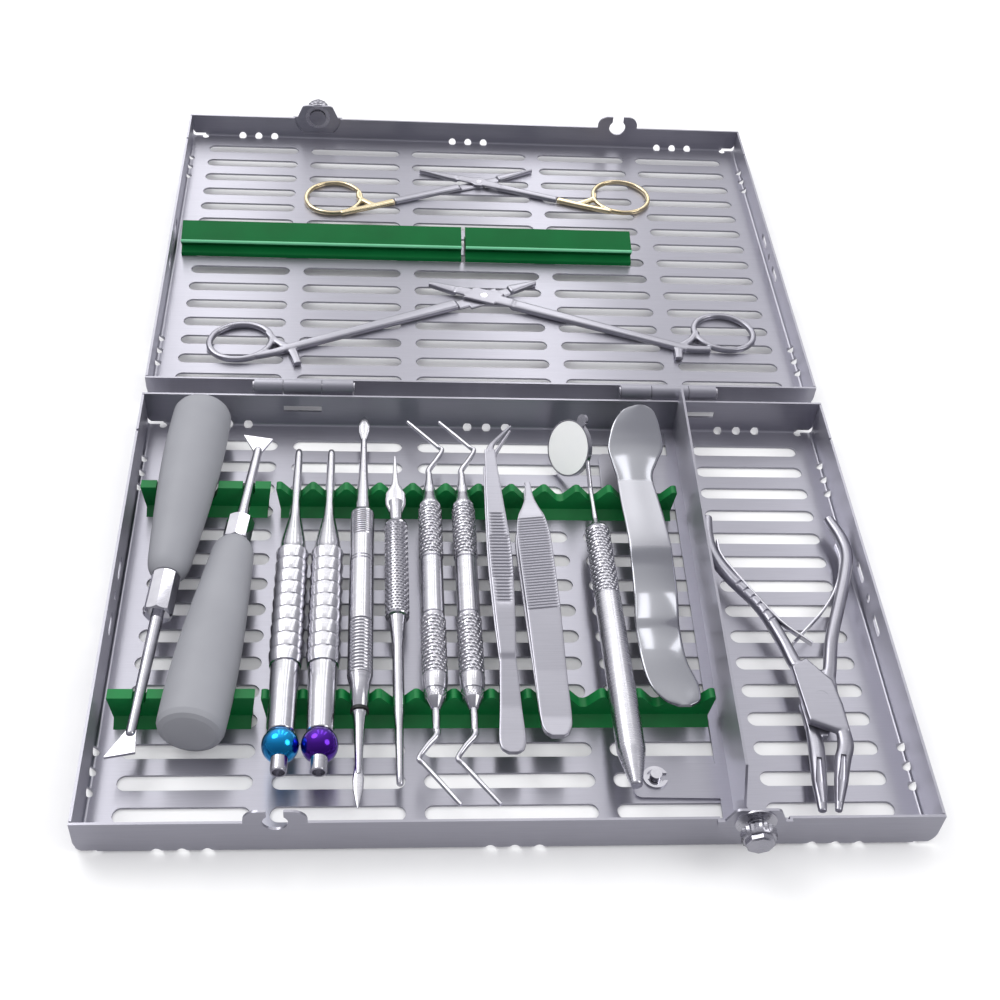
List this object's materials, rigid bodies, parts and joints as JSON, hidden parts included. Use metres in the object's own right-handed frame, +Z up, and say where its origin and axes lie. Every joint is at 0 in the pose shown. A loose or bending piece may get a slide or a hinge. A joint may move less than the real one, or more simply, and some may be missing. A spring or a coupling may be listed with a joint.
{
  "type": "dental instrument cassette",
  "caption": "Hinged perforated steel cassette lying open, with surgical dental instruments on green silicone rails in its base and ring-handled pairs in its lid.",
  "frame": {"origin": "below the middle of the hinge line, at table level", "axes": "+X across the trays to the right, +Y from the base tray towards the open lid, +Z up"},
  "size_m": [0.28, 0.4296, 0.0275],
  "materials": {
    "tray_steel": "satin bead-blasted sheet, pressed slots with bright edges",
    "hinge_steel": "turned pins with flat heads",
    "button_steel": "turned, fine straight knurl round the flange",
    "bushing_steel": "turned, thin flange",
    "spring_steel": "drawn wire",
    "rail_silicone": "moulded silicone, matt, slightly lighter on its edges",
    "bar_silicone": "extruded silicone, matt",
    "divider_steel": "satin sheet",
    "fastener_steel": "turned and stamped, bright",
    "grip_grey": "moulded, fine matt",
    "ferrule_steel": "polished flats",
    "blade_steel": "ground and polished",
    "instrument_steel": "satin, turned",
    "ball_blue": "anodised, polished",
    "ball_violet": "anodised, polished",
    "ring_black": "moulded ring",
    "retractor_steel": "polished with a brushed end",
    "mirror_glass": "front-surface mirror",
    "ring_gold": "gold-plated, satin"
  },
  "bodies": {
    "base": {"base_tray": "tray_steel", "divider": "divider_steel", "divider_stud": "fastener_steel", "divider_clip": "fastener_steel", "rail_rear_long": "rail_silicone", "rail_front_long": "rail_silicone", "rail_rear_short": "rail_silicone", "rail_front_short": "rail_silicone", "hinge_pin_left": "hinge_steel", "hinge_pin_right": "hinge_steel", "base_bushing": "bushing_steel", "base_button_spring": "spring_steel"},
    "base_push_button": {"base_button": "button_steel"},
    "lid": {"lid_tray": "tray_steel", "lid_bar_left": "bar_silicone", "lid_bar_right": "bar_silicone", "lid_bushing": "bushing_steel", "lid_button_spring": "spring_steel"},
    "lid_push_button": {"lid_button": "button_steel"},
    "left_elevator": {"elevator_left_handle": "grip_grey", "elevator_left_ferrule": "ferrule_steel", "elevator_left_blade": "blade_steel"},
    "right_elevator": {"elevator_right_handle": "grip_grey", "elevator_right_ferrule": "ferrule_steel", "elevator_right_blade": "blade_steel"},
    "blue_osteotome": {"osteotome_blue": "instrument_steel", "osteotome_blue_ball": "ball_blue"},
    "violet_osteotome": {"osteotome_violet": "instrument_steel", "osteotome_violet_ball": "ball_violet"},
    "periosteal": {"periosteal_elevator": "instrument_steel", "periosteal_ring": "ring_black"},
    "scalpel_handle": {"blade_handle": "instrument_steel"},
    "left_curette": {"curette_left_handle": "instrument_steel", "curette_left_rear_end": "blade_steel", "curette_left_front_end": "blade_steel"},
    "right_curette": {"curette_right_handle": "instrument_steel", "curette_right_rear_end": "blade_steel", "curette_right_front_end": "blade_steel"},
    "tweezers": {"tweezers_lower_arm": "instrument_steel", "tweezers_upper_arm": "instrument_steel"},
    "tissue_forceps": {"tissue_forceps_lower_arm": "instrument_steel", "tissue_forceps_upper_arm": "instrument_steel"},
    "mouth_mirror": {"mirror_handle": "instrument_steel", "mirror_head": "instrument_steel", "mirror_glass": "mirror_glass"},
    "cheek_retractor": {"retractor": "retractor_steel"},
    "rongeur_upper_half": {"rongeur_left": "instrument_steel", "rongeur_rivet": "blade_steel", "rongeur_left_spring": "blade_steel"},
    "rongeur_lower_half": {"rongeur_right": "instrument_steel", "rongeur_right_spring": "blade_steel"},
    "needle_holder_lower_half": {"needle_holder_left": "instrument_steel", "needle_holder_screw": "blade_steel"},
    "needle_holder_upper_half": {"needle_holder_right": "instrument_steel"},
    "scissors_lower_half": {"scissors_left": "instrument_steel", "scissors_left_ring": "ring_gold", "scissors_screw": "blade_steel"},
    "scissors_upper_half": {"scissors_right": "instrument_steel", "scissors_right_ring": "ring_gold"}
  },
  "joints": [
    {"name": "lid_hinge", "type": "hinge", "parent": "base", "child": "lid", "pos_m": [0, 0, 0.0172], "axis": [-1, 0, 0], "range_deg": [-180, 0], "deforming": ["lid_bar_left", "lid_bar_right"]},
    {"name": "base_latch", "type": "slide", "parent": "base", "child": "base_push_button", "axis": [0, 1, 0], "range_m": [0, 0.002], "stiffness_N_per_m": 400, "springref_m": -0.002, "deforming": ["base_button_spring"]},
    {"name": "lid_latch", "type": "slide", "parent": "lid", "child": "lid_push_button", "axis": [0, -1, 0], "range_m": [0, 0.002], "stiffness_N_per_m": 400, "springref_m": -0.002, "deforming": ["lid_button_spring"]},
    {"name": "left_elevator_lift", "type": "slide", "parent": "base", "child": "left_elevator", "axis": [0, 0, 1], "range_m": [0, 0.05]},
    {"name": "right_elevator_lift", "type": "slide", "parent": "base", "child": "right_elevator", "axis": [0, 0, 1], "range_m": [0, 0.05]},
    {"name": "blue_osteotome_lift", "type": "slide", "parent": "base", "child": "blue_osteotome", "axis": [0, 0, 1], "range_m": [0, 0.05]},
    {"name": "violet_osteotome_lift", "type": "slide", "parent": "base", "child": "violet_osteotome", "axis": [0, 0, 1], "range_m": [0, 0.05]},
    {"name": "periosteal_lift", "type": "slide", "parent": "base", "child": "periosteal", "axis": [0, 0, 1], "range_m": [0, 0.05]},
    {"name": "scalpel_handle_lift", "type": "slide", "parent": "base", "child": "scalpel_handle", "axis": [0, 0, 1], "range_m": [0, 0.05]},
    {"name": "left_curette_lift", "type": "slide", "parent": "base", "child": "left_curette", "axis": [0, 0, 1], "range_m": [0, 0.05]},
    {"name": "right_curette_lift", "type": "slide", "parent": "base", "child": "right_curette", "axis": [0, 0, 1], "range_m": [0, 0.05]},
    {"name": "tweezers_lift", "type": "slide", "parent": "base", "child": "tweezers", "axis": [0, 0, 1], "range_m": [0, 0.05]},
    {"name": "tissue_forceps_lift", "type": "slide", "parent": "base", "child": "tissue_forceps", "axis": [0, 0, 1], "range_m": [0, 0.05]},
    {"name": "mouth_mirror_lift", "type": "slide", "parent": "base", "child": "mouth_mirror", "axis": [0, 0, 1], "range_m": [0, 0.05]},
    {"name": "retractor_lift", "type": "slide", "parent": "base", "child": "cheek_retractor", "axis": [0, 0, 1], "range_m": [0, 0.05]},
    {"name": "rongeur_lift", "type": "slide", "parent": "base", "child": "rongeur_upper_half", "axis": [0, 0, 1], "range_m": [0, 0.05]},
    {"name": "rongeur_pivot", "type": "hinge", "parent": "rongeur_upper_half", "child": "rongeur_lower_half", "pos_m": [0.1108, -0.152, 0.008], "axis": [0, 0, 1], "range_deg": [0, 3], "stiffness_Nm_per_rad": 0.4, "springref_deg": -2.86, "deforming": ["rongeur_left_spring", "rongeur_right_spring"]},
    {"name": "needle_holder_lift", "type": "slide", "parent": "lid", "child": "needle_holder_lower_half", "axis": [0, 0, 1], "range_m": [0, 0.05]},
    {"name": "needle_holder_pivot", "type": "hinge", "parent": "needle_holder_lower_half", "child": "needle_holder_upper_half", "pos_m": [0.0022, 0.0739, 0.00735], "axis": [0, 0, 1], "range_deg": [0, 8]},
    {"name": "scissors_lift", "type": "slide", "parent": "lid", "child": "scissors_lower_half", "axis": [0, 0, 1], "range_m": [0, 0.05]},
    {"name": "scissors_pivot", "type": "hinge", "parent": "scissors_lower_half", "child": "scissors_upper_half", "pos_m": [0.004, 0.1652, 0.00715], "axis": [0, 0, 1], "range_deg": [0, 8]}
  ]
}
